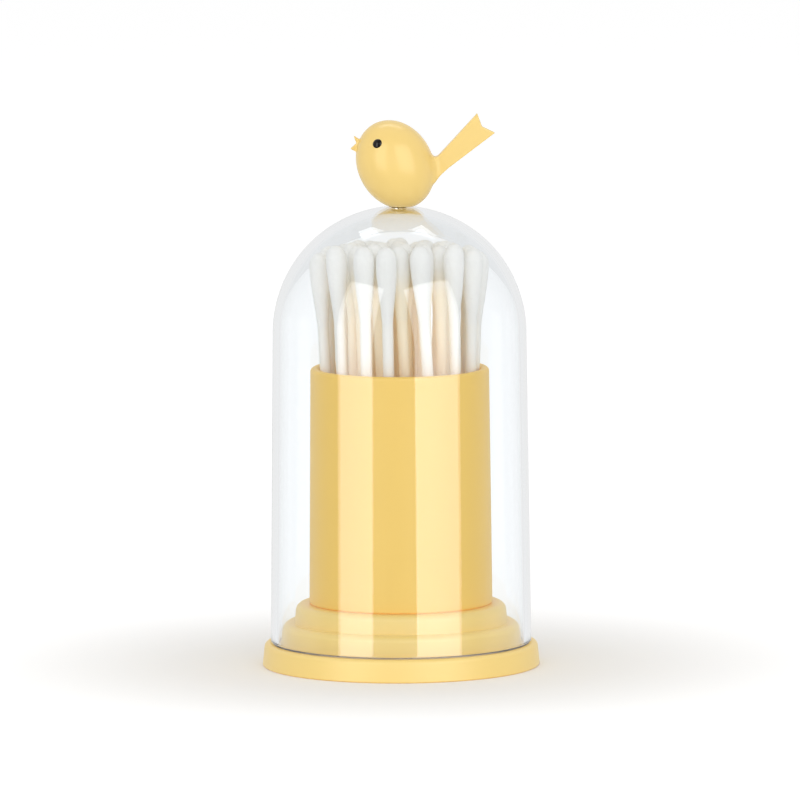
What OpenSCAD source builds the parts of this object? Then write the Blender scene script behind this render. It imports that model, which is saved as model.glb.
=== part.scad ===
// Cotton swab dispenser: a cup of swabs on a stepped plinth, under a clear dome with a bird on top.
// Millimetres, +Z up. The origin is the centre of the plinth's underside.
// Seen from the front (from -Y), the bird looks to the left (-X).

/* [Swabs] */
// Length of a swab
swab_len = 75; // [60:0.1:90]
// Diameter of the paper stick
stick_d = 2.4; // [1.8:0.1:2.6]
// Diameter of a cotton head
head_d = 4.6; // [3.8:0.1:5.6]
// Length of the cotton on the stick
head_len = 18.5; // [12:0.5:22]
// Length of a head's rounded end
head_round = 3.4; // [2:0.1:5]
// Space between neighbouring heads on the cup's floor
swab_space = 0.12; // [0.05:0.01:0.3]
// Gap under the swabs that lets a leaning end turn
swab_seat = 0.1; // [0.05:0.01:0.2]

/* [Cup] */
// Room round the middle swab, over the space between heads
middle_room = 0.32; // [0.1:0.02:1]
// Room between the outer heads and the bore at the floor, for their lean
cup_room = 0.32; // [0.28:0.01:0.6]
// Height of the cup from its foot to the rim
cup_h = 51.15; // [35:0.05:56]
// How much the outer radius tapers from the foot to the rim
cup_taper = 0.5; // [0.1:0.1:0.8]
// Wall thickness at the rim
cup_wall = 1.9; // [1.3:0.1:3]
// How much narrower the bore's radius is at the floor than at the rim
cup_draft = 0.3; // [0.15:0.01:0.6]
// Thickness of the cup's floor
cup_floor = 2.4; // [1.5:0.1:4]
// Diameter of the spigot below the floor
cup_spigot_d = 24; // [16:0.5:30]
// Length of the spigot
cup_spigot_h = 3.2; // [2.2:0.1:5]
// Clearance of the spigot in the plinth, on the radius
cup_fit = 0.05; // [0.02:0.01:0.2]

/* [Plinth] */
// Width of the upper step outside the cup
upper_tread = 3.25; // [2:0.05:6]
// Height of the upper step
upper_step_h = 4.1; // [3.4:0.1:6]
// Width of the lower step outside the upper one
lower_tread = 2.95; // [2:0.05:6]
// Height of the lower step
lower_step_h = 4.6; // [3.4:0.1:6]
// Rounding of the two steps' top edges
step_round = 1.5; // [0.3:0.1:1.7]
// How much the steps' sides taper upwards
step_draft = 0.45; // [0.1:0.05:0.6]
// Width of the flange's ledge outside the dome
flange_ledge = 1.8; // [1.5:0.1:8]
// Height of the flange
flange_h = 4.9; // [3.5:0.1:7]
// How much the flange's radius tapers up to its top edge
flange_taper = 0.5; // [0.1:0.1:0.8]
// Rounding of the flange's top edge
flange_round = 1; // [0.3:0.1:1.2]
// Wall thickness of the plinth moulding
plinth_wall = 2; // [1.4:0.1:2.4]

/* [Dome] */
// Gap between the dome and the lower step, which centres it
dome_gap = 0.6; // [0.3:0.1:3]
// Wall thickness of the dome
dome_wall = 1.6; // [1:0.1:2.4]
// How much the outer radius tapers up to the crown
dome_taper = 0.8; // [0.2:0.1:1]
// Rounding of the dome's foot
dome_foot_round = 0.4; // [0.1:0.05:0.5]
// Room between the swabs' tips and the inside of the crown
head_room = 6.94; // [6.6:0.02:20]

/* [Bird] */
// Length of the bird's body along its tilted axis
body_len = 19.84; // [16:0.02:22]
// Thickness of the body across that axis
body_d = 16.24; // [14:0.02:18]
// Lean of the body's axis from the vertical, towards the beak
body_lean = 26.8; // [10:0.1:40]
// How far the body's centre lies in front of the dome's axis
body_shift = 0.72; // [0:0.02:2]
// How much of the body's underside is cut flat to stand on the dome
foot_cut = 0.55; // [0.3:0.05:1]
// Diameter of the spigot in the dome's crown
bird_spigot_d = 3; // [2:0.1:4]
// Clearance of the spigot in the crown, on the radius
bird_fit = 0.05; // [0.02:0.01:0.2]
// Angle of the tail above the horizontal
tail_angle = 42; // [25:0.1:55]
// How far the tail's centre line passes below the body's centre
tail_drop = 6.5; // [3:0.1:7]
// Length of the tail from beside the body's centre to its tips
tail_reach = 20.5; // [17:0.1:26]
// Width of the tail where it leaves the body
tail_root_w = 3.4; // [2:0.1:5]
// Width of the tail across its two tips
tail_tip_w = 5.7; // [4:0.1:9]
// Depth of the notch between the tips
tail_notch = 1.15; // [0.5:0.05:3]
// Thickness of the tail at its root
tail_root_t = 3.4; // [2:0.1:5]
// Thickness of the tail at its tips
tail_tip_t = 1.7; // [1:0.1:3]
// Radius of the blend between the tail and the body
tail_blend = 1.6; // [0.5:0.1:3]
// Angle of the beak above the horizontal
beak_angle = 14; // [0:1:25]
// Height of the open beak's notch above the body's centre
beak_rise = 4.65; // [3:0.05:6]
// Gape of the beak across its two points
beak_gape = 2.9; // [2:0.1:4]
// Height of the upper beak's root above the notch
beak_root_up = 1; // [0.5:0.1:1.5]
// Depth of the lower beak's root below the notch
beak_root_down = 1.8; // [1:0.1:2.4]
// How far the two points stand out past the notch
beak_point = 1; // [0.5:0.1:2]
// How far the notch stands out of the head
beak_out = 0.35; // [0:0.05:1]
// Thickness of the beak
beak_t = 1.5; // [0.8:0.1:3]
// How deep the roots' corners lie behind the notch
beak_sink = 0.4; // [0.3:0.05:1]

/* [Eyes] */
// Diameter of the eye beads
eye_d = 2.1; // [1.2:0.1:3]
// How far a bead bulges out of the head
eye_bulge = 0.4; // [0.2:0.05:0.7]
// Depth of a bead's socket
eye_depth = 1; // [0.6:0.1:2]
// Clearance of a bead in its socket, on the radius
eye_fit = 0.03; // [0.02:0.01:0.1]
// Distance of the eyes in front of the dome's axis
eye_x = 4.6; // [3:0.05:6]
// Height of the eyes above the bird's foot
eye_z = 14.2; // [11:0.05:15]

/* [Hidden] */
$fn = 96;

// Feet of the swabs stand in three rings round a middle one, head to head
pitch = head_d + swab_space;
third_foot_r = pitch + middle_room;
second_foot_r = third_foot_r + pitch;
outer_foot_r = second_foot_r + pitch;

// From the rings outwards: cup, steps, dome, flange
cup_floor_r = outer_foot_r + head_d / 2 + cup_room;
cup_bore_r = cup_floor_r + cup_draft;
cup_top_r = cup_bore_r + cup_wall;
cup_foot_r = cup_top_r + cup_taper;
upper_step_r = cup_foot_r + upper_tread;
lower_step_r = upper_step_r + lower_tread;
dome_bore_r = lower_step_r + dome_gap;
dome_foot_r = dome_bore_r + dome_wall;
flange_r = dome_foot_r + flange_ledge;

// Heights, from the foot upwards
lower_step_z = flange_h;
upper_step_z = lower_step_z + lower_step_h;
plinth_h = upper_step_z + upper_step_h;
cup_floor_z = plinth_h + cup_floor;
cup_rim_z = plinth_h + cup_h;
rim_round = cup_wall * 0.4;
dome_z = flange_h;
crown_r = dome_foot_r - dome_taper;
dome_top = cup_floor_z + swab_seat + swab_len + head_room + dome_wall;
crown_z = dome_top - crown_r;

body_a = body_len / 2;
body_b = body_d / 2;
body_half_h = sqrt(pow(body_a * cos(body_lean), 2) + pow(body_b * sin(body_lean), 2));
body_x = -body_shift;
body_z = dome_top - foot_cut + body_half_h;
tail_bury = body_b * 0.5;

// A point of the body's side, from its place in the side view: x, z from the body's centre
function along(x, z) = -x * sin(body_lean) + z * cos(body_lean);
function across(x, z) = x * cos(body_lean) + z * sin(body_lean);
function side_y(x, z) = body_b * sqrt(1 - pow(along(x, z) / body_a, 2) - pow(across(x, z) / body_b, 2));
// The direction that faces out of the body there
function side_out(x, z) =
    let (u = along(x, z) / pow(body_a, 2), v = across(x, z) / pow(body_b, 2))
    [v * cos(body_lean) - u * sin(body_lean), side_y(x, z) / pow(body_b, 2),
        u * cos(body_lean) + v * sin(body_lean)];
// How far the body's outline reaches in front of its centre at a height above it
function front_reach(z) =
    let (
        p = pow(sin(body_lean) / body_a, 2) + pow(cos(body_lean) / body_b, 2),
        q = z * sin(body_lean) * cos(body_lean) * (1 / pow(body_b, 2) - 1 / pow(body_a, 2)),
        c = pow(along(0, z) / body_a, 2) + pow(across(0, z) / body_b, 2) - 1
    )
    (q + sqrt(q * q - p * c)) / p;

// Points of an arc about a centre
function arc(c, r, from, to, steps = 6) =
    [for (i = [0:steps]) let (a = from + (to - from) * i / steps) [c[0] + r * cos(a), c[1] + r * sin(a)]];

// Angles of the swabs run from the front (-Y) towards +X. The bundle twists as it rises.
// Outer ring, one row a swab: angle of the foot, angle of the tip,
// then how far the tip leans out and how much longer the swab is, both in head diameters
OUTER = [
    [-69.5, -87, 0.6, -0.28], [-48.3, -60, 0.2, 0.12], [-26.3, -30, 0.09, 0.17], [-6.5, -11, 0, 0.17],
    [38.3, 17, 0.02, 0.26], [61.7, 51, 0.06, 0.2], [83, 71, 0.44, -0.07], [104, 89, 0.59, -0.25],
    [127, 109, 0.39, 0], [150.5, 133, 0.37, 0.02], [174, 157, 0.32, 0.06], [197, 180, 0.34, 0.04],
    [220.5, 204, 0.32, 0.06], [244, 228, 0.37, 0], [267, 252, 0.41, -0.02]
];
// Second ring: evenly spaced feet from the first one's angle, tips turned, lengths a little uneven
SECOND_COUNT = 12;
SECOND_TURN = 19.8;
SECOND = [for (i = [0:SECOND_COUNT - 1])
    [SECOND_TURN + i * 360 / SECOND_COUNT, SECOND_TURN - 21 + i * 360 / SECOND_COUNT,
        0.08 + 0.05 * sin(i * 97), 0.17 + 0.08 * sin(i * 140)]];
THIRD_COUNT = 6;
THIRD = [for (i = [0:THIRD_COUNT - 1])
    [30 + i * 360 / THIRD_COUNT, 12 + i * 360 / THIRD_COUNT, 0.03, 0.2 + 0.07 * sin(i * 150)]];
CENTRE = [[0, 0, 0.02, 0.24]];
// Every swab: the foot's angle and radius, the tip's angle and radius, the length
function ring(rows, foot_r) =
    [for (s = rows) [s[0], foot_r, s[1], foot_r + s[2] * head_d, swab_len + s[3] * head_d]];
SWABS = concat(ring(OUTER, outer_foot_r), ring(SECOND, second_foot_r), ring(THIRD, third_foot_r),
    ring(CENTRE, 0));
function two_digits(n) = n < 10 ? str("0", n) : str(n);
function swab_name(i) = str("swab_", two_digits(i + 1));

// Half section of the plinth's outside, or of the hollow under it when inset by the wall
module plinth_section(inset) {
    foot_z = inset > 0 ? -plinth_wall : 0;
    edge_round = max(flange_round - inset, 0.1);
    tread_round = max(step_round - inset, 0.1);
    polygon(concat(
        [[0, foot_z], [flange_r - inset, foot_z]],
        arc([flange_r - flange_taper - inset - edge_round, flange_h - inset - edge_round], edge_round, 0, 90),
        [[lower_step_r - inset, flange_h - inset]],
        arc([lower_step_r - step_draft - inset - tread_round, upper_step_z - inset - tread_round],
            tread_round, 0, 90),
        [[upper_step_r - inset, upper_step_z - inset]],
        arc([upper_step_r - step_draft - inset - tread_round, plinth_h - inset - tread_round],
            tread_round, 0, 90),
        [[0, plinth_h - inset]]
    ));
}

// Stepped moulding, hollow underneath, with a hole for the cup's spigot
module plinth() {
    color("#fadc8c")
    difference() {
        rotate_extrude() plinth_section(0);
        rotate_extrude() plinth_section(plinth_wall);
        translate([0, 0, plinth_h - 2 * plinth_wall])
            cylinder(r = cup_spigot_d / 2 + cup_fit, h = 3 * plinth_wall);
    }
}

// Drafted tube with a rounded rim, a floor and a spigot that plugs into the plinth
module cup() {
    spigot_r = cup_spigot_d / 2;
    color("#f8d67f")
    rotate_extrude() polygon(concat(
        [[0, plinth_h - cup_spigot_h], [spigot_r, plinth_h - cup_spigot_h],
            [spigot_r, plinth_h], [cup_foot_r, plinth_h]],
        arc([cup_top_r - rim_round, cup_rim_z - rim_round], rim_round, 0, 90),
        arc([cup_bore_r + rim_round, cup_rim_z - rim_round], rim_round, 90, 180),
        [[cup_floor_r, cup_floor_z], [0, cup_floor_z]]
    ));
}

// Clear bell: a drafted wall under a half-round crown, with a hole for the bird's spigot
module dome() {
    color("#dfeff5", 0.35)
    difference() {
        rotate_extrude() {
            polygon([[dome_bore_r + dome_foot_round, dome_z], [dome_foot_r - dome_foot_round, dome_z],
                [dome_foot_r, dome_z + dome_foot_round], [crown_r, crown_z], [crown_r - dome_wall, crown_z],
                [dome_bore_r, dome_z + dome_foot_round]]);
            translate([0, crown_z]) intersection() {
                difference() {
                    circle(r = crown_r);
                    circle(r = crown_r - dome_wall);
                }
                square(crown_r + 1);
            }
        }
        translate([0, 0, dome_top - 2 * dome_wall])
            cylinder(r = bird_spigot_d / 2 + bird_fit, h = 3 * dome_wall);
    }
}

// Egg of the body, drawn about its own upright axis
module egg() {
    steps = 24;
    rotate_extrude() polygon([for (i = [0:steps]) let (a = -90 + 180 * i / steps)
        [i == 0 || i == steps ? 0 : body_b * cos(a), body_a * sin(a)]]);
}

// The body's side view, a little inside its real outline
module egg_outline(inset) {
    rotate(body_lean) scale([(body_b - inset) / body_a, 1 - inset / body_a]) circle(r = body_a, $fn = 72);
}

// Notched fan tail, from inside the body to its two tips
module tail_outline() {
    rotate(tail_angle) translate([0, -tail_drop]) polygon([
        [tail_bury, -tail_root_w / 2], [body_b, -tail_root_w / 2], [tail_reach, -tail_tip_w / 2],
        [tail_reach - tail_notch, 0], [tail_reach, tail_tip_w / 2], [body_b, tail_root_w / 2],
        [tail_bury, tail_root_w / 2]
    ]);
}

// Fan tail with a blended root, thinner towards its tips
module tail() {
    slab = 2 * body_d;
    intersection() {
        rotate([90, 0, 0]) linear_extrude(slab, center = true)
        intersection() {
            offset(r = -tail_blend, $fn = 32) offset(delta = tail_blend) {
                egg_outline(0.4);
                tail_outline();
            }
            rotate(tail_angle) translate([tail_bury, -slab / 2]) square([tail_reach, slab]);
        }
        rotate([0, -tail_angle, 0]) linear_extrude(2 * slab, center = true) polygon([
            [0, -tail_root_t / 2], [body_b, -tail_root_t / 2], [tail_reach, -tail_tip_t / 2],
            [tail_reach, tail_tip_t / 2], [body_b, tail_root_t / 2], [0, tail_root_t / 2]
        ]);
    }
}

// Open beak: two short points with a notch between them, buried in the head
module beak() {
    buried = beak_sink + body_b / 3;
    translate([-front_reach(beak_rise) - beak_out, 0, beak_rise])
    rotate([0, beak_angle, 0])
    rotate([90, 0, 0]) linear_extrude(beak_t, center = true) polygon([
        [0, 0], [-beak_point, beak_gape / 2], [beak_sink, beak_root_up], [buried, 0],
        [beak_sink, -beak_root_down], [-beak_point, -beak_gape / 2]
    ]);
}

// Places an eye's parts on the head: side is 1 for the bird's right (+Y) and -1 for its left
module at_eye(side) {
    ex = -eye_x - body_x;
    ez = eye_z + dome_top - body_z;
    out = side_out(ex, ez);
    translate([-eye_x, side * side_y(ex, ez), eye_z + dome_top])
    rotate([0, acos(out[2] / norm(out)), atan2(side * out[1], out[0])])
    children();
}

// Body, tail and beak in one moulding, with a flat foot, a spigot and two eye sockets
module bird() {
    color("#f4d480")
    difference() {
        union() {
            difference() {
                translate([body_x, 0, body_z]) union() {
                    rotate([0, -body_lean, 0]) egg();
                    tail();
                    beak();
                }
                translate([0, 0, dome_top - body_len]) cube(2 * body_len, center = true);
            }
            translate([0, 0, dome_top - dome_wall]) cylinder(r = bird_spigot_d / 2, h = 2 * dome_wall);
        }
        for (side = [-1, 1]) at_eye(side) translate([0, 0, -eye_depth])
            cylinder(r = eye_d / 2 + eye_fit, h = eye_depth + body_d / 4);
    }
}

// Bead with a round front on a short stem
module eye(side) {
    front_r = (pow(eye_d / 2, 2) + pow(eye_bulge, 2)) / (2 * eye_bulge);
    color("#15110f")
    at_eye(side) intersection() {
        translate([0, 0, eye_fit - eye_depth]) cylinder(r = eye_d / 2, h = eye_depth + eye_bulge);
        translate([0, 0, eye_bulge - front_r]) sphere(r = front_r);
    }
}

// Radius of a swab at a distance from its tip: a rounded end, then cotton thinning into the stick
function head_radius(s) =
    s < head_round
        ? head_d / 2 * pow(1 - pow(1 - s / head_round, 2.2), 1 / 2.2)
        : stick_d / 2 + (head_d - stick_d) / 4 * (1 + cos(180 * (s - head_round) / (head_len - head_round)));
HEAD_STOPS = [0.02, 0.1, 0.28, 0.6, 1];
TAPER_STEPS = 5;
function head_profile() = concat(
    [for (f = HEAD_STOPS) [head_radius(f * head_round), f * head_round]],
    [for (i = [1:TAPER_STEPS]) let (s = head_round + (head_len - head_round) * i / TAPER_STEPS)
        [head_radius(s), s]]
);

// Swab standing on its foot, with a cotton head at both ends
module swab(length) {
    head = head_profile();
    last = len(head) - 1;
    color("#f1f1ea")
    rotate_extrude($fn = 48) polygon(concat(
        [[0, 0]], head,
        [for (i = [last:-1:0]) [head[i][0], length - head[i][1]]],
        [[0, length]]
    ));
}

// A swab leaned from its foot on the cup's floor to its tip
module placed_swab(s) {
    foot = [s[1] * sin(s[0]), -s[1] * cos(s[0])];
    tip = [s[3] * sin(s[2]), -s[3] * cos(s[2])];
    shift = tip - foot;
    lean = asin(norm(shift) / s[4]);
    translate([foot[0], foot[1], cup_floor_z + swab_seat])
    rotate([0, lean, atan2(shift[1], shift[0])])
    swab(s[4]);
}

plinth();
cup();
dome();
bird();
eye(-1);  // eye_left
eye(1);  // eye_right
for (i = [0:len(SWABS) - 1])
    placed_swab(SWABS[i]);
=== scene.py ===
"""Looks of the cotton swab dispenser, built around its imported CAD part.

Everything is in metres in the CAD's own frame: +Z up, the origin under the plinth's centre,
the front towards -Y. Sizes in this file are in millimetres and go through mm().
"""

import math

import bmesh
import bpy
import numpy as np
from mathutils import Matrix, Vector


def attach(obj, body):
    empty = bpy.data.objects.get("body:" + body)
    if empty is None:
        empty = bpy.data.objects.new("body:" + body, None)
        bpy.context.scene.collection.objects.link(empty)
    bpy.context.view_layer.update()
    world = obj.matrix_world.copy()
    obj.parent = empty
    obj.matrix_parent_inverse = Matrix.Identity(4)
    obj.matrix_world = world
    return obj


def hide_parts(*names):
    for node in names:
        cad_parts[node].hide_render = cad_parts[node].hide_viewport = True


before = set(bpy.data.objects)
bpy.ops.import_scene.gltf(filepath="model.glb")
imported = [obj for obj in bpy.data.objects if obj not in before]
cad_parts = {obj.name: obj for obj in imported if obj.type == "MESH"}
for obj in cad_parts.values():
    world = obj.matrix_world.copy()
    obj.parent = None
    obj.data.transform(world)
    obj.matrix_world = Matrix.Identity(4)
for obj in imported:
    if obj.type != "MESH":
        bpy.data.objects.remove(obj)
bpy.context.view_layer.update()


def mm(value):
    return value * 0.001


# Sizes, as in the CAD part
FLANGE_R, FLANGE_TOP_R, FLANGE_H, FLANGE_ROUND = 30.0, 29.5, 4.9, 1.0
LOWER_STEP_R, UPPER_STEP_R, STEP_DRAFT, STEP_ROUND = 26.0, 23.05, 0.45, 1.5
UPPER_STEP_Z, PLINTH_H, PLINTH_WALL = 9.5, 13.6, 2.0
CUP_FOOT_R, CUP_TOP_R, CUP_RIM_Z, RIM_ROUND = 19.8, 19.3, 64.75, 0.75
CUP_BORE_R, CUP_FLOOR_R, CUP_FLOOR_Z = 17.4, 17.1, 16.0
CUP_SPIGOT_R, CUP_SPIGOT_H, CUP_FIT = 12.0, 3.2, 0.05
DOME_FOOT_R, CROWN_R, DOME_WALL, DOME_TOP = 28.2, 27.4, 1.6, 99.64
CROWN_Z = DOME_TOP - CROWN_R
# Height of the dark band painted as shade on the dome's foot, where it stands on the flange
FOOT_SHADE_HEIGHT = 0.22
# Gap at a seam, so that the two pieces' faces never coincide
SEAM = 0.02
# Roundings: crisp corners where steps meet, the foot of the flange, the hollow's corners, the hole's edges,
# the cup's spigot and floor, and the dome's foot
CRISP, FLOOR_EDGE, HOLLOW, HOLE_EDGE, SPIGOT_EDGE, DOME_EDGE = 0.15, 0.2, 0.4, 0.1, 0.3, 0.35

# Strength of the surround: as light on matt surfaces, and as mirrored in front and at the back
LIT, MIRRORED_FRONT, MIRRORED_BACK = 0.92, 0.3, 1.06
# What the floor adds to its own light in view, near the object and far off: far off it comes out white, near
# the object the smaller lift paints shade round the foot
NEAR_LIFT, FAR_LIFT, NEAR, FAR = 0.05, 0.32, 30, 115

# The bird: half length and half thickness of its body, then the tail, beak and eyes
BODY_A, BODY_B, BODY_LEAN, BODY_X, FOOT_CUT = 9.92, 8.12, math.radians(26.8), -0.72, 0.55
BODY_Z = DOME_TOP - FOOT_CUT + math.hypot(BODY_A * math.cos(BODY_LEAN), BODY_B * math.sin(BODY_LEAN))
BIRD_SPIGOT_R, BIRD_FIT, SPIGOT_SUNK = 1.5, 0.05, 1.0
TAIL_RISE, TAIL_DROP, TAIL_REACH, TAIL_NOTCH = math.radians(42), 6.5, 20.5, 1.15
TAIL_ROOT_W, TAIL_TIP_W, TAIL_ROOT_T, TAIL_TIP_T = 3.4, 5.7, 3.4, 1.7
BEAK_TURN, BEAK_RISE, BEAK_OUT, BEAK_T = math.radians(14), 4.65, 0.35, 1.5
BEAK_OUTLINE = [(0, 0), (-1, 1.45), (0.4, 1.0), (3.1, 0), (0.4, -1.8), (-1, -1.45)]
EYE_X, EYE_Z, EYE_R, EYE_BULGE = -4.6, DOME_TOP + 14.2, 1.05, 0.4
# Fillets at the tail and beak, the rounding of their edges, and the fineness and box of the skin
TAIL_BLEND, BEAK_BLEND, PLATE_EDGE, SKIN_STEP = 1.8, 0.25, 0.12, 0.15
SKIN_LOW, SKIN_HIGH = (-11.4, -8.7, 97.4), (21.6, 8.7, 120.6)

SWAB_NODES = [f"swab_{i:02d}" for i in range(1, 35)]
HEAD_R, STICK_R, HEAD_LEN, HEAD_ROUND = 2.3, 1.2, 18.5, 3.4
LUMP_DEPTH, STICK_INSET = 0.16, 1.0


def put(tree, value, socket):
    """Links another node's output to a socket, or sets the value there."""
    if isinstance(value, bpy.types.NodeSocket):
        tree.links.new(value, socket)
    elif value is not None:
        socket.default_value = value


def math_node(tree, operation, a, b=None, clamp=False):
    """Adds a Math node; each input is a number or another node's output."""
    node = tree.nodes.new("ShaderNodeMath")
    node.operation, node.use_clamp = operation, clamp
    put(tree, a, node.inputs[0])
    put(tree, b, node.inputs[1])
    return node.outputs[0]


def soft_range(tree, value, from_min, from_max, to_min=0.0, to_max=1.0):
    """Adds a Map Range node that eases in and out between its ends."""
    node = tree.nodes.new("ShaderNodeMapRange")
    node.interpolation_type = "SMOOTHSTEP"
    put(tree, value, node.inputs["Value"])
    for name, end in (("From Min", from_min), ("From Max", from_max), ("To Min", to_min), ("To Max", to_max)):
        put(tree, end, node.inputs[name])
    return node.outputs[0]


def noise(tree, place, scale, detail=2.0, roughness=0.5):
    """Adds a Noise Texture and gives its value, from 0 to 1."""
    node = tree.nodes.new("ShaderNodeTexNoise")
    for name, value in (("Vector", place), ("Scale", scale), ("Detail", detail), ("Roughness", roughness)):
        put(tree, value, node.inputs[name])
    return node.outputs["Fac"]


def stretched(tree, place, scale, rotation=(0, 0, 0)):
    """Adds a Mapping node, which squeezes a pattern more the larger its scale is."""
    node = tree.nodes.new("ShaderNodeMapping")
    put(tree, place, node.inputs["Vector"])
    node.inputs["Scale"].default_value = scale
    node.inputs["Rotation"].default_value = rotation
    return node.outputs[0]


# Camera, stage and lights
def set_camera():
    """Long lens from 2.6 m, looking down on the front by about 7 degrees, very slightly rolled."""
    distance, look_down, roll = mm(2600), math.radians(6.93), math.radians(0.3)
    target = Vector((mm(0.021), 0, mm(57.53)))
    data = bpy.data.cameras.new("camera")
    data.lens, data.sensor_width = 541.7, 36
    data.clip_start, data.clip_end = 0.1, 30
    camera = bpy.data.objects.new("camera", data)
    bpy.context.collection.objects.link(camera)
    camera.location = target + distance * Vector((0, -math.cos(look_down), math.sin(look_down)))
    tilt = Matrix.Rotation(math.pi / 2 - look_down, 3, "X") @ Matrix.Rotation(-roll, 3, "Z")
    camera.rotation_euler = tilt.to_euler()
    bpy.context.scene.camera = camera


def softbox(name, azimuth, elevation, size, fill, shine, distance=1.2):
    """Softbox that faces the object, with one strength for fill and one for its reflection.

    Azimuth 0 is the front, growing towards +X. Angles in degrees, sizes in metres. The lamp that is mirrored
    stands a little nearer than the one that fills, because lamps in the same plane hide each other.
    """
    a, e = math.radians(azimuth), math.radians(elevation)
    aim = Vector((0, 0, mm(60)))
    towards = Vector((math.cos(e) * math.sin(a), -math.cos(e) * math.cos(a), math.sin(e)))
    for part, radiance, reach in (("fill", fill, distance), ("shine", shine, 0.98 * distance)):
        if not radiance:
            continue
        data = bpy.data.lights.new(f"{name}_{part}", "AREA")
        data.shape = "RECTANGLE"
        data.size, data.size_y = size
        data.energy = radiance * math.pi * size[0] * size[1]
        lamp = bpy.data.objects.new(f"{name}_{part}", data)
        bpy.context.collection.objects.link(lamp)
        lamp.location = aim + reach * towards
        lamp.rotation_euler = (-towards).to_track_quat("-Z", "Y").to_euler()
        lamp.visible_camera = False
        lamp.visible_diffuse = part == "fill"
        lamp.visible_glossy = lamp.visible_transmission = part == "shine"


def light_studio():
    """White surround with softboxes at both sides, above and in front.

    In reflections the surround is dim in front, where the camera stands, and bright at the back.
    """
    world = bpy.data.worlds.new("studio")
    bpy.context.scene.world = world
    world.use_nodes = True
    tree = world.node_tree
    tree.nodes.clear()
    path = tree.nodes.new("ShaderNodeLightPath").outputs
    direction = tree.nodes.new("ShaderNodeTexCoord").outputs["Generated"]
    parts = tree.nodes.new("ShaderNodeSeparateXYZ")
    tree.links.new(direction, parts.inputs[0])
    surround = soft_range(tree, parts.outputs["Y"], -0.45, 0.1, MIRRORED_FRONT, MIRRORED_BACK)
    behind = math_node(tree, "MAXIMUM", path["Is Camera Ray"], path["Is Transmission Ray"])
    seen = math_node(tree, "MAXIMUM", behind, path["Is Glossy Ray"])
    first = math_node(tree, "LESS_THAN", path["Glossy Depth"], 0.5)
    white = math_node(tree, "MULTIPLY", behind, first)
    mirrored = math_node(tree, "MULTIPLY", math_node(tree, "SUBTRACT", 1.0, white), surround)
    around = math_node(tree, "ADD", white, mirrored)
    strength = math_node(tree, "ADD", math_node(tree, "MULTIPLY", seen, around),
                         math_node(tree, "MULTIPLY", math_node(tree, "SUBTRACT", 1.0, seen), LIT))
    background = tree.nodes.new("ShaderNodeBackground")
    tree.links.new(strength, background.inputs["Strength"])
    out = tree.nodes.new("ShaderNodeOutputWorld")
    tree.links.new(background.outputs[0], out.inputs["Surface"])

    softbox("left_softbox", -41, 17, (0.74, 1.4), fill=0.4, shine=2.8)
    softbox("right_softbox", 34.5, 19, (0.98, 1.4), fill=0.4, shine=2.8)
    softbox("overhead_softbox", 180, 61.5, (0.85, 0.23), fill=1.0, shine=2.6)
    softbox("front_softbox", 0, 10, (0.7, 0.7), fill=2.0, shine=0)


def lay_floor():
    """Pale floor that stays white in view away from the object; it keeps the soft shadow round the foot,
    deepened by painted shade where its lift is smaller near the object.
    """
    mesh = bpy.data.meshes.new("floor")
    half = 6.0
    mesh.from_pydata([(-half, -half, 0), (half, -half, 0), (half, half, 0), (-half, half, 0)], [],
                     [(0, 1, 2, 3)])
    floor = bpy.data.objects.new("floor", mesh)
    bpy.context.collection.objects.link(floor)
    material = bpy.data.materials.new("pale_floor")
    material.use_nodes = True
    tree = material.node_tree
    tree.nodes.clear()
    path = tree.nodes.new("ShaderNodeLightPath").outputs
    matt = tree.nodes.new("ShaderNodeBsdfDiffuse")
    matt.inputs["Color"].default_value = (0.9, 0.9, 0.9, 1)
    seen = math_node(tree, "MAXIMUM", path["Is Camera Ray"], path["Is Transmission Ray"])
    away = tree.nodes.new("ShaderNodeVectorMath")
    away.operation = "LENGTH"
    tree.links.new(tree.nodes.new("ShaderNodeTexCoord").outputs["Object"], away.inputs[0])
    # Less lift near the object: painted shade round the foot, on top of the real shadow
    share = soft_range(tree, away.outputs["Value"], mm(NEAR), mm(FAR), NEAR_LIFT, FAR_LIFT)
    lift = tree.nodes.new("ShaderNodeEmission")
    tree.links.new(math_node(tree, "MULTIPLY", seen, share), lift.inputs["Strength"])
    both = tree.nodes.new("ShaderNodeAddShader")
    tree.links.new(matt.outputs[0], both.inputs[0])
    tree.links.new(lift.outputs[0], both.inputs[1])
    # Reflections look past the floor to the softboxes, as they do over a narrow table
    past = tree.nodes.new("ShaderNodeBsdfTransparent")
    mix = tree.nodes.new("ShaderNodeMixShader")
    tree.links.new(math_node(tree, "MINIMUM", path["Glossy Depth"], 1.0), mix.inputs[0])
    tree.links.new(both.outputs[0], mix.inputs[1])
    tree.links.new(past.outputs[0], mix.inputs[2])
    out = tree.nodes.new("ShaderNodeOutputMaterial")
    tree.links.new(mix.outputs[0], out.inputs["Surface"])
    mesh.materials.append(material)
    floor.visible_glossy = False


# Shader groups and materials
def new_group(name, inputs, outputs):
    """Shader node group with named sockets: (name, kind, starting value)."""
    group = bpy.data.node_groups.new(name, "ShaderNodeTree")
    for socket_name, kind, value in inputs:
        socket = group.interface.new_socket(socket_name, in_out="INPUT", socket_type="NodeSocket" + kind)
        put(group, value, socket)
    for socket_name, kind in outputs:
        group.interface.new_socket(socket_name, in_out="OUTPUT", socket_type="NodeSocket" + kind)
    return group, group.nodes.new("NodeGroupInput"), group.nodes.new("NodeGroupOutput")


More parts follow.
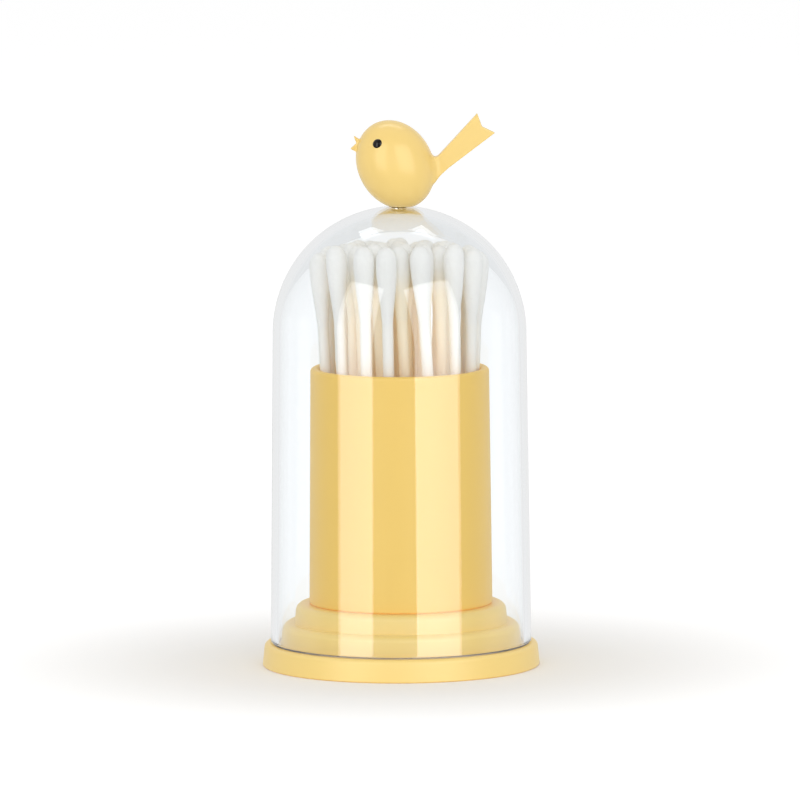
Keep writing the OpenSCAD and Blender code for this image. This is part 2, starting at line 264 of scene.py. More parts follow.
def mottled_colour_group():
    """A colour drifting slightly lighter and darker in soft patches, as coloured plastic does."""
    group, given, out = new_group(
        "mottled colour",
        [("Position", "Vector", None), ("Colour", "Color", (1, 1, 1, 1)), ("Patch size", "Float", 0.01),
         ("Strength", "Float", 0.03)],
        [("Colour", "Color")])
    scale = math_node(group, "DIVIDE", 1.0, given.outputs["Patch size"])
    patches = noise(group, given.outputs["Position"], scale, detail=3)
    centred = math_node(group, "SUBTRACT", patches, 0.5)
    swing = math_node(group, "MULTIPLY", centred, given.outputs["Strength"])
    value = math_node(group, "ADD", swing, 1.0)
    tint = group.nodes.new("ShaderNodeHueSaturation")
    group.links.new(value, tint.inputs["Value"])
    group.links.new(given.outputs["Colour"], tint.inputs["Color"])
    group.links.new(tint.outputs["Color"], out.inputs["Colour"])
    return group


def handled_gloss_group():
    """Roughness of a polished surface with faint hand marks and fine wipe streaks."""
    group, given, out = new_group(
        "handled gloss",
        [("Position", "Vector", None), ("Roughness", "Float", 0.15), ("Marks", "Float", 0.1)],
        [("Roughness", "Float")])
    patches = noise(group, given.outputs["Position"], 90, detail=5)
    streaks = noise(group, stretched(group, given.outputs["Position"], (1, 1, 0.15)), 1500)
    both = math_node(group, "MULTIPLY", patches, streaks)
    marks = math_node(group, "MULTIPLY", both, given.outputs["Marks"])
    rough = math_node(group, "ADD", given.outputs["Roughness"], marks, clamp=True)
    group.links.new(rough, out.inputs["Roughness"])
    return group


def moulded_skin_group():
    """Height of a moulded surface: long soft waves from shrinkage and a very fine grain."""
    group, given, out = new_group(
        "moulded skin",
        [("Position", "Vector", None), ("Wave size", "Float", 0.006), ("Grain", "Float", 0.1)],
        [("Height", "Float")])
    scale = math_node(group, "DIVIDE", 1.0, given.outputs["Wave size"])
    waves = noise(group, given.outputs["Position"], scale, detail=1)
    grain = noise(group, given.outputs["Position"], 4000)
    fine = math_node(group, "MULTIPLY", grain, given.outputs["Grain"])
    height = math_node(group, "ADD", waves, fine)
    group.links.new(height, out.inputs["Height"])
    return group


MOTTLED_COLOUR = mottled_colour_group()
HANDLED_GLOSS = handled_gloss_group()
MOULDED_SKIN = moulded_skin_group()


def new_material(name):
    """Material with a Principled shader and Object coordinates; returns them with its tree."""
    material = bpy.data.materials.new(name)
    material.use_nodes = True
    tree = material.node_tree
    tree.nodes.clear()
    shader = tree.nodes.new("ShaderNodeBsdfPrincipled")
    out = tree.nodes.new("ShaderNodeOutputMaterial")
    tree.links.new(shader.outputs[0], out.inputs["Surface"])
    position = tree.nodes.new("ShaderNodeTexCoord").outputs["Object"]
    return material, tree, shader, position


def place_group(tree, group, position, **values):
    """Puts a shader group in a material with its own values."""
    node = tree.nodes.new("ShaderNodeGroup")
    node.node_tree = group
    tree.links.new(position, node.inputs["Position"])
    for name, value in values.items():
        node.inputs[name.replace("_", " ")].default_value = value
    return node.outputs[0]


def bump(tree, height, distance):
    """Normal of a surface with that height pattern, as deep as distance in metres."""
    node = tree.nodes.new("ShaderNodeBump")
    node.inputs["Distance"].default_value = distance
    tree.links.new(height, node.inputs["Height"])
    return node.outputs["Normal"]


def moulded_plastic(name, colour, roughness, shine=0.5, marks=0.05, wave_depth=0.0015):
    """Satin opaque plastic, self-coloured, straight from the mould."""
    material, tree, shader, position = new_material(name)
    tree.links.new(place_group(tree, MOTTLED_COLOUR, position, Colour=(*colour, 1), Patch_size=0.015,
                               Strength=0.03), shader.inputs["Base Color"])
    tree.links.new(place_group(tree, HANDLED_GLOSS, position, Roughness=roughness, Marks=marks),
                   shader.inputs["Roughness"])
    skin = place_group(tree, MOULDED_SKIN, position, Wave_size=0.012, Grain=0.02)
    tree.links.new(bump(tree, skin, mm(wave_depth)), shader.inputs["Normal"])
    shader.inputs["IOR"].default_value = 1.5
    shader.inputs["Specular IOR Level"].default_value = shine
    return material


def clear_plastic(name, tint, roughness=0.0, through=(0.975, 0.98, 0.98)):
    """Clear dome plastic, faintly blue in its depth; light reaches what stands under it."""
    material, tree, shader, _ = new_material(name)
    shader.inputs["Base Color"].default_value = (*tint, 1)
    shader.inputs["Transmission Weight"].default_value = 1.0
    shader.inputs["IOR"].default_value = 1.49
    shader.inputs["Roughness"].default_value = roughness
    clear = tree.nodes.new("ShaderNodeBsdfTransparent")
    clear.inputs["Color"].default_value = (*through, 1)
    path = tree.nodes.new("ShaderNodeLightPath").outputs
    lamp = math_node(tree, "MAXIMUM", path["Is Shadow Ray"], path["Is Diffuse Ray"])
    mix = tree.nodes.new("ShaderNodeMixShader")
    tree.links.new(lamp, mix.inputs[0])
    tree.links.new(shader.outputs[0], mix.inputs[1])
    tree.links.new(clear.outputs[0], mix.inputs[2])
    out = next(n for n in tree.nodes if n.type == "OUTPUT_MATERIAL")
    tree.links.new(mix.outputs[0], out.inputs["Surface"])
    return material


def black_bead():
    """Polished black glass bead."""
    material, tree, shader, position = new_material("black_bead")
    shader.inputs["Base Color"].default_value = (0.006, 0.004, 0.004, 1)
    shader.inputs["IOR"].default_value = 1.45
    shader.inputs["Specular IOR Level"].default_value = 0.35
    tree.links.new(place_group(tree, HANDLED_GLOSS, position, Roughness=0.04, Marks=0.03),
                   shader.inputs["Roughness"])
    return material


def painted_bounce_mask_group():
    """Mask of how deep a place lies in the bundle, where warm bounce light from the yellow cup is painted
    into the colour.
    """
    group, given, out = new_group(
        "painted cup bounce mask",
        [("Position", "Vector", None), ("Open radius", "Float", mm(15.6)), ("Deep radius", "Float", mm(12.6)),
         ("Open height", "Float", mm(88)), ("Deep height", "Float", mm(79))],
        [("Mask", "Float")])
    parts = group.nodes.new("ShaderNodeSeparateXYZ")
    group.links.new(given.outputs["Position"], parts.inputs[0])
    squares = [math_node(group, "MULTIPLY", parts.outputs[axis], parts.outputs[axis]) for axis in "XY"]
    radius = math_node(group, "SQRT", math_node(group, "ADD", *squares))
    masks = [soft_range(group, place, given.outputs[f"Open {name}"], given.outputs[f"Deep {name}"])
             for place, name in ((radius, "radius"), (parts.outputs["Z"], "height"))]
    group.links.new(math_node(group, "MULTIPLY", *masks), out.inputs["Mask"])
    return group


PAINTED_BOUNCE_MASK = painted_bounce_mask_group()


def colour_with_painted_bounce(tree, position, pale, painted_bounce_colour, patch_size, strength):
    """Mottled pale colour with warm bounce light from the yellow cup painted in deep in the bundle."""
    mix = tree.nodes.new("ShaderNodeMix")
    mix.data_type = "RGBA"
    factor, low, high = (next(s for s in mix.inputs if s.identifier == name)
                         for name in ("Factor_Float", "A_Color", "B_Color"))
    tree.links.new(place_group(tree, PAINTED_BOUNCE_MASK, position), factor)
    tree.links.new(place_group(tree, MOTTLED_COLOUR, position, Colour=(*pale, 1), Patch_size=patch_size,
                               Strength=strength), low)
    # The painted warm bounce light from the yellow cup
    high.default_value = (*painted_bounce_colour, 1)
    return next(s for s in mix.outputs if s.identifier == "Result_Color")


def wound_cotton():
    """White cotton wound round the stick: fine fibres across it, soft lumps and a pale sheen; warm bounce
    light from the yellow cup is painted into its colour deep in the bundle.
    """
    material, tree, shader, position = new_material("wound_cotton")
    own = tree.nodes.new("ShaderNodeAttribute")
    own.attribute_name = "own_place"
    across = stretched(tree, own.outputs["Vector"], (0.35, 0.35, 1.6), (math.radians(14), 0, 0))
    fibres = noise(tree, across, 3000, detail=6, roughness=0.65)
    fluff = noise(tree, position, 1500, detail=4)
    height = math_node(tree, "ADD", fibres, fluff)
    tree.links.new(bump(tree, height, mm(0.09)), shader.inputs["Normal"])
    # Pale cotton colour, with warm bounce light from the yellow cup painted in deep in the bundle
    tree.links.new(colour_with_painted_bounce(tree, position, (0.92, 0.915, 0.89), (1.0, 0.93, 0.76), 0.0015, 0.04),
                   shader.inputs["Base Color"])
    shader.inputs["Roughness"].default_value = 0.9
    shader.inputs["Specular IOR Level"].default_value = 0.15
    shader.inputs["Sheen Weight"].default_value = 0.25
    shader.inputs["Sheen Roughness"].default_value = 0.6
    return material


def rolled_paper():
    """Stick of tightly rolled white paper: matt, with faint lengthwise grain; warm bounce light from the
    yellow cup is painted into its colour deep in the bundle.
    """
    material, tree, shader, position = new_material("rolled_paper")
    own = tree.nodes.new("ShaderNodeAttribute")
    own.attribute_name = "own_place"
    grain = noise(tree, stretched(tree, own.outputs["Vector"], (1, 1, 0.12)), 4000, detail=4)
    tree.links.new(bump(tree, grain, mm(0.02)), shader.inputs["Normal"])
    # Pale paper colour, with warm bounce light from the yellow cup painted in deep in the bundle
    tree.links.new(colour_with_painted_bounce(tree, position, (0.92, 0.91, 0.87), (1.0, 0.91, 0.72), 0.002, 0.04),
                   shader.inputs["Base Color"])
    shader.inputs["Roughness"].default_value = 0.6
    return material


# Turned pieces
def arc(centre, radius, start, end, steps):
    """Points of an arc in the half section, from start to end degrees."""
    turns = [math.radians(start + (end - start) * i / steps) for i in range(steps + 1)]
    return [(centre[0] + radius * math.cos(t), centre[1] + radius * math.sin(t)) for t in turns]


def rounded(corners, closed, steps=8, lead=0.1):
    """Half section through corners (radius, height, rounding), with a short straight lead by each arc."""
    points, count = [], len(corners)
    for i, (r, z, rounding) in enumerate(corners):
        here = Vector((r, z))
        if not rounding or (not closed and i in (0, count - 1)):
            points.append((r, z))
            continue
        to_last = (Vector(corners[i - 1][:2]) - here).normalized()
        to_next = (Vector(corners[(i + 1) % count][:2]) - here).normalized()
        half = to_last.angle(to_next) / 2
        reach = rounding / math.tan(half)
        centre = here + (to_last + to_next).normalized() * rounding / math.sin(half)
        start = here + to_last * reach - centre
        sweep = math.pi - 2 * half
        if start.x * to_next.y - start.y * to_next.x < 0:
            sweep = -sweep
        points.append(tuple(here + to_last * (reach + lead)))
        for k in range(steps + 1):
            turn = sweep * k / steps
            points.append((centre.x + start.x * math.cos(turn) - start.y * math.sin(turn),
                           centre.y + start.x * math.sin(turn) + start.y * math.cos(turn)))
        points.append(tuple(here + to_next * (reach + lead)))
    return points


def turned_mesh(name, section, closed, segments=160, sharp=35):
    """Mesh of a half section turned about the Z axis; an open section starts and ends on the axis."""
    vertices, rings = [], []
    for r, z in section:
        if r < 1e-6:
            rings.append([len(vertices)] * segments)
            vertices.append((0, 0, mm(z)))
            continue
        rings.append(list(range(len(vertices), len(vertices) + segments)))
        for k in range(segments):
            turn = 2 * math.pi * k / segments
            vertices.append((mm(r) * math.cos(turn), mm(r) * math.sin(turn), mm(z)))
    faces = []
    pairs = list(zip(rings, rings[1:])) + ([(rings[-1], rings[0])] if closed else [])
    for low, high in pairs:
        for k in range(segments):
            n = (k + 1) % segments
            corners = [low[k], low[n], high[n], high[k]]
            faces.append(list(dict.fromkeys(corners)))
    mesh = bpy.data.meshes.new(name)
    mesh.from_pydata(vertices, [], faces)
    return finish_mesh(mesh, sharp)


def finish_mesh(mesh, sharp=35):
    """Turns the faces outwards and shades them smoothly, up to the sharp edges."""
    shape = bmesh.new()
    shape.from_mesh(mesh)
    bmesh.ops.recalc_face_normals(shape, faces=shape.faces)
    shape.to_mesh(mesh)
    shape.free()
    mesh.shade_smooth()
    mesh.set_sharp_from_angle(angle=math.radians(sharp))
    mesh.update()
    return mesh


def add_piece(name, mesh, materials, body, nodes):
    """Puts a finished mesh in the scene, on its CAD body and in place of its CAD nodes."""
    piece = bpy.data.objects.new(name, mesh)
    bpy.context.collection.objects.link(piece)
    for material in materials:
        mesh.materials.append(material)
    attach(piece, body)
    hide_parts(*nodes)
    return piece


def make_plinth(material):
    """Stepped moulding, open underneath, with rounded treads and crisp inner corners."""
    hole_r = CUP_SPIGOT_R + CUP_FIT
    wall = PLINTH_WALL
    section = rounded([
        (hole_r, PLINTH_H, HOLE_EDGE),
        (UPPER_STEP_R - STEP_DRAFT, PLINTH_H, STEP_ROUND),
        (UPPER_STEP_R, UPPER_STEP_Z, CRISP),
        (LOWER_STEP_R - STEP_DRAFT, UPPER_STEP_Z, STEP_ROUND),
        (LOWER_STEP_R, FLANGE_H, CRISP),
        (FLANGE_TOP_R, FLANGE_H, FLANGE_ROUND),
        (FLANGE_R, 0, FLOOR_EDGE),
        (FLANGE_R - wall, 0, FLOOR_EDGE),
        (FLANGE_TOP_R - wall, FLANGE_H - wall, HOLLOW),
        (LOWER_STEP_R - wall, FLANGE_H - wall, HOLLOW),
        (LOWER_STEP_R - STEP_DRAFT - wall, UPPER_STEP_Z - wall, HOLLOW),
        (UPPER_STEP_R - wall, UPPER_STEP_Z - wall, HOLLOW),
        (UPPER_STEP_R - STEP_DRAFT - wall, PLINTH_H - wall, HOLLOW),
        (hole_r, PLINTH_H - wall, HOLE_EDGE),
    ], closed=True)
    add_piece("plinth_moulding", turned_mesh("plinth_moulding", section, closed=True), [material],
              "base", ["plinth"])


def make_cup(material):
    """Tall tube with a rounded rim, a floor and the spigot that plugs into the plinth."""
    section = rounded([
        (0, PLINTH_H - CUP_SPIGOT_H, 0),
        (CUP_SPIGOT_R, PLINTH_H - CUP_SPIGOT_H, SPIGOT_EDGE),
        (CUP_SPIGOT_R, PLINTH_H + SEAM, 0),
        (CUP_FOOT_R, PLINTH_H + SEAM, CRISP),
        (CUP_TOP_R, CUP_RIM_Z, RIM_ROUND),
        (CUP_BORE_R, CUP_RIM_Z, RIM_ROUND),
        (CUP_FLOOR_R, CUP_FLOOR_Z, SPIGOT_EDGE),
        (0, CUP_FLOOR_Z, 0),
    ], closed=False)
    add_piece("cup_moulding", turned_mesh("cup_moulding", section, closed=False), [material],
              "base", ["cup"])


def make_dome(clear, edge):
    """Clear bell: a slightly drafted wall, a half-round crown and a rounded foot, whose lowest band takes the
    second material, a dark violet painted shade.
    """
    hole_r = BIRD_SPIGOT_R + BIRD_FIT
    inner_r = CROWN_R - DOME_WALL
    outer_end = math.degrees(math.acos(hole_r / CROWN_R))
    inner_end = math.degrees(math.acos(hole_r / inner_r))
    foot = rounded([
        (inner_r, CROWN_Z, 0),
        (DOME_FOOT_R - DOME_WALL, FLANGE_H + SEAM, DOME_EDGE),
        (DOME_FOOT_R, FLANGE_H + SEAM, DOME_EDGE),
        (CROWN_R, CROWN_Z, 0),
    ], closed=False)[1:-1]
    section = foot + arc((0, CROWN_Z), CROWN_R, 0, outer_end, 40) + \
        arc((0, CROWN_Z), inner_r, inner_end, 0, 40)
    mesh = turned_mesh("dome_cover", section, closed=True, segments=192)
    # The foot's lowest band takes the dark material: painted shade along the line where the dome stands on
    # the flange
    for face in mesh.polygons:
        face.material_index = int(face.center.z < mm(FLANGE_H + FOOT_SHADE_HEIGHT))
    add_piece("dome_cover", mesh, [clear, edge], "dome", ["dome"])


# Bird
def egg_place(x, z):
    """Place in the side view as distances along and across the body's leaning axis."""
    px, pz = x - BODY_X, z - BODY_Z
    return (-px * math.sin(BODY_LEAN) + pz * math.cos(BODY_LEAN),
            px * math.cos(BODY_LEAN) + pz * math.sin(BODY_LEAN))


def bird_distance(x, y, z):
    """Signed distance in mm to the bird's skin: an egg, a fan tail and an open beak, blended."""
    along, across = egg_place(x, z)
    k0 = np.sqrt((across / BODY_B) ** 2 + (y / BODY_B) ** 2 + (along / BODY_A) ** 2)
    k1 = np.sqrt((across / BODY_B ** 2) ** 2 + (y / BODY_B ** 2) ** 2 + (along / BODY_A ** 2) ** 2)
    body = k0 * (k0 - 1) / np.maximum(k1, 1e-6)

    px, pz = x - BODY_X, z - BODY_Z
    out = px * math.cos(TAIL_RISE) + pz * math.sin(TAIL_RISE)
    side = -px * math.sin(TAIL_RISE) + pz * math.cos(TAIL_RISE) + TAIL_DROP
    tail_outline = [
        (BODY_B / 2, -TAIL_ROOT_W / 2), (BODY_B, -TAIL_ROOT_W / 2), (TAIL_REACH, -TAIL_TIP_W / 2),
        (TAIL_REACH - TAIL_NOTCH, 0), (TAIL_REACH, TAIL_TIP_W / 2), (BODY_B, TAIL_ROOT_W / 2),
        (BODY_B / 2, TAIL_ROOT_W / 2)]
    half_t = np.interp(out, [BODY_B, TAIL_REACH], [TAIL_ROOT_T / 2, TAIL_TIP_T / 2])
    tail = slab(polygon_distance(out, side, tail_outline), np.abs(y) - half_t, PLATE_EDGE)

    notch_x, notch_z = -front_reach(BEAK_RISE) - BEAK_OUT, BEAK_RISE
    bx = (px - notch_x) * math.cos(BEAK_TURN) - (pz - notch_z) * math.sin(BEAK_TURN)
    bz = (px - notch_x) * math.sin(BEAK_TURN) + (pz - notch_z) * math.cos(BEAK_TURN)
    beak = slab(polygon_distance(bx, bz, BEAK_OUTLINE), np.abs(y) - BEAK_T / 2, PLATE_EDGE)

    whole = soft_union(soft_union(body, tail, TAIL_BLEND), beak, BEAK_BLEND)
    whole = np.maximum(whole, DOME_TOP + SEAM - z)
    spigot_ends = np.maximum(z - DOME_TOP - SPIGOT_SUNK, DOME_TOP - DOME_WALL - z)
    spigot = np.maximum(np.hypot(x, y) - BIRD_SPIGOT_R, spigot_ends)
    return np.minimum(whole, spigot)


def front_reach(z):
    """How far the egg's outline reaches in front of its centre, at a height above it."""
    sin, cos = math.sin(BODY_LEAN), math.cos(BODY_LEAN)
    p = (sin / BODY_A) ** 2 + (cos / BODY_B) ** 2
    q = z * sin * cos * (1 / BODY_B ** 2 - 1 / BODY_A ** 2)
    c = (z * cos / BODY_A) ** 2 + (z * sin / BODY_B) ** 2 - 1
    return (q + math.sqrt(q * q - p * c)) / p


def soft_union(a, b, blend):
    """Union of two distances with a fillet about as wide as blend."""
    h = np.clip(0.5 + 0.5 * (b - a) / blend, 0, 1)
    return b * (1 - h) + a * h - blend * h * (1 - h)


def polygon_distance(x, y, outline):
    """Signed distance in the plane to a closed outline, negative inside."""
    best = np.full(x.shape, 1e9)
    inside = np.zeros(x.shape, bool)
    for (ax, ay), (bx, by) in zip(outline, outline[1:] + outline[:1]):
        ex, ey = bx - ax, by - ay
        wx, wy = x - ax, y - ay
        t = np.clip((wx * ex + wy * ey) / (ex * ex + ey * ey), 0, 1)
        best = np.minimum(best, (wx - t * ex) ** 2 + (wy - t * ey) ** 2)
        crosses = (ay > y) != (by > y)
        if ey:
            inside ^= crosses & (x < ax + (y - ay) * ex / ey)
    return np.where(inside, -1.0, 1.0) * np.sqrt(best)


def slab(outline, thickness, rounding):
    """Distance to an outline with a thickness, its edges rounded."""
    a, b = outline + rounding, thickness + rounding
    return np.minimum(np.maximum(a, b), 0) + np.hypot(np.maximum(a, 0), np.maximum(b, 0)) - rounding


def skin_mesh(name, distance, low, high, step):
    """Mesh of the surface where the distance is nought, one vertex in each crossed cell."""
    axes = [np.arange(low[i], high[i] + step, step) for i in range(3)]
    field = distance(*np.meshgrid(*axes, indexing="ij"))
    solid = field < 0
    shape = np.array(field.shape) - 1
    total, count = np.zeros((*shape, 3)), np.zeros(tuple(shape))
    starts = [(a, b, c) for a in (0, 1) for b in (0, 1) for c in (0, 1)]

    def part(array, corner):
        return array[tuple(slice(c, c + s) for c, s in zip(corner, shape))]

    for axis in range(3):
        for corner in starts:
            if corner[axis]:
                continue
            other = tuple(c + (i == axis) for i, c in enumerate(corner))
            f0, f1 = part(field, corner), part(field, other)
            crossed = part(solid, corner) != part(solid, other)
            t = np.where(crossed, f0 / np.where(crossed, f0 - f1, 1), 0)
            place = np.array(corner, float)
            for i in range(3):
                total[..., i] += crossed * (place[i] + (t if i == axis else 0))
            count += crossed
    used = count > 0
    number = np.full(tuple(shape), -1)
    number[used] = np.arange(used.sum())
    cells = np.argwhere(used)
    points = np.array(low) + (cells + total[used] / count[used][:, None]) * step
    faces = []
    for axis in range(3):
        u, v = (axis + 1) % 3, (axis + 2) % 3
        here = [slice(1, s) for s in shape]
        here[axis] = slice(0, shape[axis])
        ahead = list(here)
        ahead[axis] = slice(1, shape[axis] + 1)
        a, b = solid[tuple(here)], solid[tuple(ahead)]
        edges = np.argwhere(a != b)
        base = edges.copy()
        base[:, u] += 1
        base[:, v] += 1
        quads = []
        for du, dv in ((-1, -1), (0, -1), (0, 0), (-1, 0)):
            cell = base.copy()
            cell[:, u] += du
            cell[:, v] += dv
            quads.append(number[tuple(cell.T)])
        faces.append(np.stack(quads, axis=1))
    mesh = bpy.data.meshes.new(name)
    mesh.from_pydata(mm(points).tolist(), [], np.concatenate(faces).tolist())
    return mesh


def make_bird(material):
    """Bird finial in one smooth moulding, its spigot in the dome's crown."""
    mesh = skin_mesh("bird_finial", bird_distance, SKIN_LOW, SKIN_HIGH, SKIN_STEP)
    add_piece("bird_finial", finish_mesh(mesh, sharp=50), [material], "dome", ["bird"])


def make_eye(side, node, name, material):
    """Round-fronted bead in its socket: side is 1 for the bird's right (+Y) and -1 for its left."""
    along, across = egg_place(EYE_X, EYE_Z)
    y = BODY_B * math.sqrt(1 - (along / BODY_A) ** 2 - (across / BODY_B) ** 2)
    u, v = along / BODY_A ** 2, across / BODY_B ** 2
    out = Vector((v * math.cos(BODY_LEAN) - u * math.sin(BODY_LEAN), side * y / BODY_B ** 2,
                  u * math.cos(BODY_LEAN) + v * math.sin(BODY_LEAN))).normalized()
    place = Vector((mm(EYE_X), side * mm(y), mm(EYE_Z)))
    front_r = (EYE_R ** 2 + EYE_BULGE ** 2) / (2 * EYE_BULGE)
    edge = math.degrees(math.asin((EYE_R - 0.08) / front_r))
    section = arc((0, EYE_BULGE - front_r), front_r, 90, 90 - edge, 16)
    # The bead's side and its flat back, sunk in the socket
    section += [(EYE_R, -0.05), (EYE_R, -0.3), (EYE_R - 0.1, -0.6), (0, -0.6)]
    mesh = turned_mesh(name, section, closed=False, segments=48)
    mesh.transform(out.to_track_quat("Z", "Y").to_matrix().to_4x4())
    for vertex in mesh.vertices:
        vertex.co += place
    mesh.update()
    add_piece(name, mesh, [material], "dome", [node])


# Swabs
def swab_ends(node):
    """The two ends of a CAD swab: its outermost points along its own axis."""
    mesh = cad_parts[node].data
    points = np.array([v.co for v in mesh.vertices])
    axis = np.linalg.svd(points - points.mean(axis=0), full_matrices=False)[2][0]
    reach = points @ axis
    ends = [Vector(points[reach.argmin()]), Vector(points[reach.argmax()])]
    return sorted(ends, key=lambda p: p.z)


def head_radius(s):
    """Radius of a cotton head in mm at a distance from its tip."""
    if s < HEAD_ROUND:
        return HEAD_R * (1 - (1 - s / HEAD_ROUND) ** 2.2) ** (1 / 2.2)
    share = (s - HEAD_ROUND) / (HEAD_LEN - HEAD_ROUND)
    return STICK_R + (HEAD_R - STICK_R) / 2 * (1 + math.cos(math.pi * share))


class Nodes:
    """Short way to add linked nodes to a geometry tree."""

    def __init__(self, tree):
        self.tree = tree

    def add(self, kind, settings=None, **inputs):
        node = self.tree.nodes.new(kind)
        for name, value in (settings or {}).items():
            setattr(node, name, value)
        for name, value in inputs.items():
            key = name.replace("_", " ")
            socket = next(s for s in node.inputs if s.enabled and s.name == key)
            put(self.tree, value, socket)
        return node

    def maths(self, operation, a, b=None):
        return math_node(self.tree, operation, a, b)


def swab_tree(cotton, paper):
    """Geometry tree: a paper stick along every edge, and a wound cotton head at both its ends."""
    tree = bpy.data.node_groups.new("swab bundle", "GeometryNodeTree")
    for name, kind, value in (
            ("Swabs", "Geometry", None), ("Head radius", "Float", mm(HEAD_R)),
            ("Head length", "Float", mm(HEAD_LEN)), ("Stick radius", "Float", mm(STICK_R)),
            ("Lump depth", "Float", mm(LUMP_DEPTH)), ("Seed", "Int", 7)):
        put(tree, value, tree.interface.new_socket(name, in_out="INPUT", socket_type="NodeSocket" + kind))
    tree.interface.new_socket("Swabs", in_out="OUTPUT", socket_type="NodeSocketGeometry")
    n = Nodes(tree)
    given = tree.nodes.new("NodeGroupInput").outputs
    out = tree.nodes.new("NodeGroupOutput")

    # One cotton head, its tip at the origin and its length along +Z
    line = n.add("GeometryNodeCurvePrimitiveLine", Start=(0, 0, 0), End=(0, 0, 1))
    points = n.add("GeometryNodeResampleCurve", {"mode": "COUNT"}, Curve=line.outputs[0], Count=44)
    along = n.add("GeometryNodeSplineParameter").outputs["Factor"]
    squared = n.maths("MULTIPLY", along, along)
    height = n.maths("MULTIPLY", squared, given["Head length"])
    upright = n.add("ShaderNodeCombineXYZ", Z=height)
    spaced = n.add("GeometryNodeSetPosition", Geometry=points.outputs[0], Position=upright.outputs[0])
    profile = n.add("ShaderNodeFloatCurve", Value=n.maths("SQRT", along))
    curve = profile.mapping.curves[0]
    # Stops along the head, closer together at its round tip
    stops = [0, 0.06, 0.13, 0.2, 0.28, 0.36, 0.43, 0.55, 0.68, 0.8, 0.9, 1]
    for i, t in enumerate(stops):
        height_mm = HEAD_LEN * t * t
        value = 0.0 if i == 0 else (head_radius(height_mm) - (0.03 if t == 1 else 0)) / HEAD_R
        if i in (0, len(stops) - 1):
            curve.points[0 if i == 0 else -1].location = (t, value)
        else:
            curve.points.new(t, value)
    profile.mapping.update()
    thick = n.maths("MULTIPLY", profile.outputs[0], given["Head radius"])
    circle = n.add("GeometryNodeCurvePrimitiveCircle", {"mode": "RADIUS"}, Resolution=28, Radius=1.0)
    head = n.add("GeometryNodeCurveToMesh", Curve=spaced.outputs[0], Profile_Curve=circle.outputs[0],
                 Scale=thick, Fill_Caps=True)
    place = n.add("GeometryNodeInputPosition").outputs[0]
    marked = n.add("GeometryNodeStoreNamedAttribute", {"data_type": "FLOAT_VECTOR", "domain": "POINT"},
                   Geometry=head.outputs[0], Name="own_place", Value=place)

    # A head on both ends of every edge, pointing inwards
    aim = n.add("GeometryNodeInputNamedAttribute", {"data_type": "FLOAT_VECTOR"}, Name="aim").outputs[0]
    facing = n.add("FunctionNodeAlignRotationToVector", {"axis": "Z"}, Vector=aim).outputs[0]
    spin_node = n.add("FunctionNodeRandomValue", {"data_type": "FLOAT"}, Min=0.0, Max=6.283,
                      Seed=given["Seed"])
    spin = next(s for s in spin_node.outputs if s.enabled)
    twist = n.add("FunctionNodeAxisAngleToRotation", Axis=(0, 0, 1), Angle=spin).outputs[0]
    turned = n.add("FunctionNodeRotateRotation", {"rotation_space": "LOCAL"}, Rotation=facing,
                   Rotate_By=twist).outputs[0]
    heads = n.add("GeometryNodeInstanceOnPoints", Points=given["Swabs"], Instance=marked.outputs[0],
                  Rotation=turned)
    real = n.add("GeometryNodeRealizeInstances", Geometry=heads.outputs[0])

    # Soft lumps in the cotton, pressed inwards only
    lumps = n.add("ShaderNodeTexNoise", {"noise_dimensions": "3D"}, Scale=420.0, Detail=2.0)
    depth = n.maths("MULTIPLY", lumps.outputs[0], given["Lump depth"])
    inwards = n.maths("MULTIPLY", depth, -1.0)
    normal = n.add("GeometryNodeInputNormal").outputs[0]
    push = n.add("ShaderNodeVectorMath", {"operation": "SCALE"}, Vector=normal, Scale=inwards)
    lumpy = n.add("GeometryNodeSetPosition", Geometry=real.outputs[0], Offset=push.outputs[0])
    soft = n.add("GeometryNodeSetShadeSmooth", Geometry=lumpy.outputs[0])
    wound = n.add("GeometryNodeSetMaterial", Geometry=soft.outputs[0], Material=cotton)

    # The paper sticks, from end to end inside the cotton
    axes = n.add("GeometryNodeMeshToCurve", Mesh=given["Swabs"])
    inset = n.add("GeometryNodeTrimCurve", {"mode": "LENGTH"}, Curve=axes.outputs[0])
    ends = [s for s in inset.inputs if s.enabled and s.name in ("Start", "End")]
    length = n.add("GeometryNodeSplineLength").outputs["Length"]
    put(tree, mm(STICK_INSET), ends[0])
    put(tree, n.maths("SUBTRACT", length, mm(STICK_INSET)), ends[1])
    stick_round = n.add("GeometryNodeCurvePrimitiveCircle", {"mode": "RADIUS"}, Resolution=20,
                        Radius=given["Stick radius"])
    stick = n.add("GeometryNodeCurveToMesh", Curve=inset.outputs[0], Profile_Curve=stick_round.outputs[0],
                  Fill_Caps=True)
    stick_marked = n.add("GeometryNodeStoreNamedAttribute", {"data_type": "FLOAT_VECTOR", "domain": "POINT"},
                         Geometry=stick.outputs[0], Name="own_place", Value=place)
    stick_smooth = n.add("GeometryNodeSetShadeSmooth", Geometry=stick_marked.outputs[0])
    rolled = n.add("GeometryNodeSetMaterial", Geometry=stick_smooth.outputs[0], Material=paper)
    both = n.add("GeometryNodeJoinGeometry")
    tree.links.new(wound.outputs[0], both.inputs[0])
    tree.links.new(rolled.outputs[0], both.inputs[0])
    tree.links.new(both.outputs[0], out.inputs[0])
    return tree


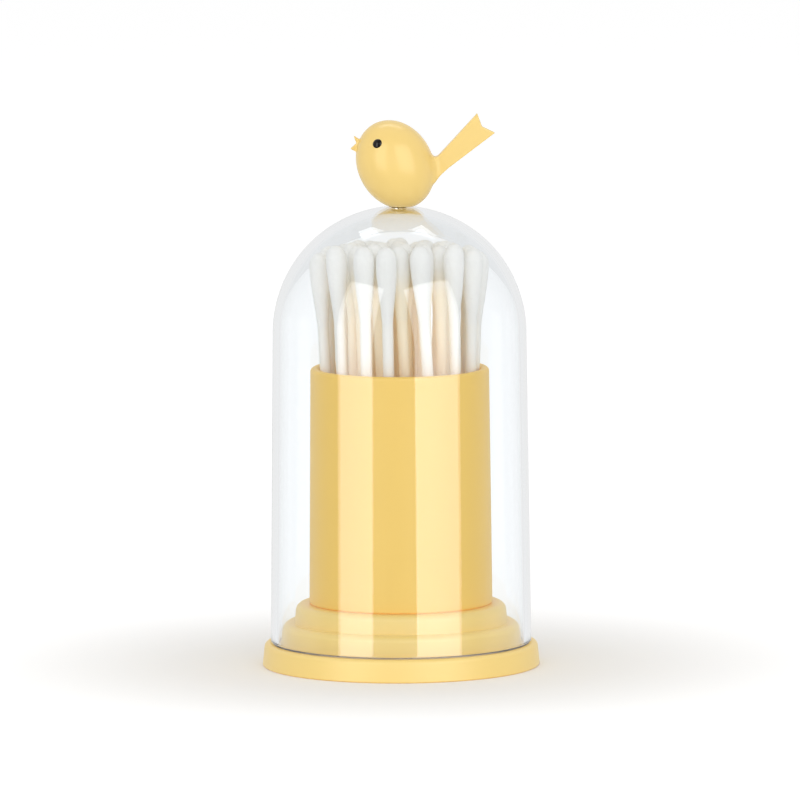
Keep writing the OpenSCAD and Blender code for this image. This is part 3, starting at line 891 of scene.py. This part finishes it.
def make_swabs(cotton, paper):
    """All the swabs as one plain mesh, each standing where its CAD swab stands."""
    ends = [swab_ends(node) for node in SWAB_NODES]
    points, aims = [], []
    for foot, tip in ends:
        direction = (tip - foot).normalized()
        points += [foot, tip]
        aims += [direction, -direction]
    edges = [(2 * i, 2 * i + 1) for i in range(len(ends))]
    mesh = bpy.data.meshes.new("swab_axes")
    mesh.from_pydata(points, edges, [])
    aim = mesh.attributes.new("aim", "FLOAT_VECTOR", "POINT")
    aim.data.foreach_set("vector", [c for a in aims for c in a])
    source = bpy.data.objects.new("swab_axes", mesh)
    bpy.context.collection.objects.link(source)
    modifier = source.modifiers.new("swab bundle", "NODES")
    modifier.node_group = swab_tree(cotton, paper)
    graph = bpy.context.evaluated_depsgraph_get()
    result = bpy.data.meshes.new_from_object(source.evaluated_get(graph))
    bpy.data.objects.remove(source)
    result.name = "swab_bundle"
    add_piece("swab_bundle", result, [], "base", SWAB_NODES)


# The whole scene
bpy.context.scene.view_settings.view_transform = "Standard"
cycles = bpy.context.scene.cycles
cycles.max_bounces, cycles.diffuse_bounces, cycles.glossy_bounces = 36, 20, 12
cycles.transmission_bounces, cycles.transparent_max_bounces = 24, 24
set_camera()
light_studio()
lay_floor()

# The plinth takes a lighter copy of the cup's yellow as painted light: the same plastic, lighter where the
# plinth gets more light
make_plinth(moulded_plastic("plinth_yellow_painted_lighter", (0.95, 0.70, 0.235), 0.36))
make_cup(moulded_plastic("cup_yellow", (0.96, 0.635, 0.14), 0.42))
# The dome's second material is a dark violet painted shade for its foot
make_dome(clear_plastic("clear_plastic", (0.972, 0.988, 0.998)),
          clear_plastic("painted_foot_shade", (0.45, 0.4, 0.52), roughness=0.3, through=(0.6, 0.56, 0.66)))
make_bird(moulded_plastic("bird_plastic", (0.94, 0.68, 0.235), 0.2, shine=0.3))
bead = black_bead()
make_eye(-1, "eye_left", "eye_bead_left", bead)
make_eye(1, "eye_right", "eye_bead_right", bead)
make_swabs(wound_cotton(), rolled_paper())
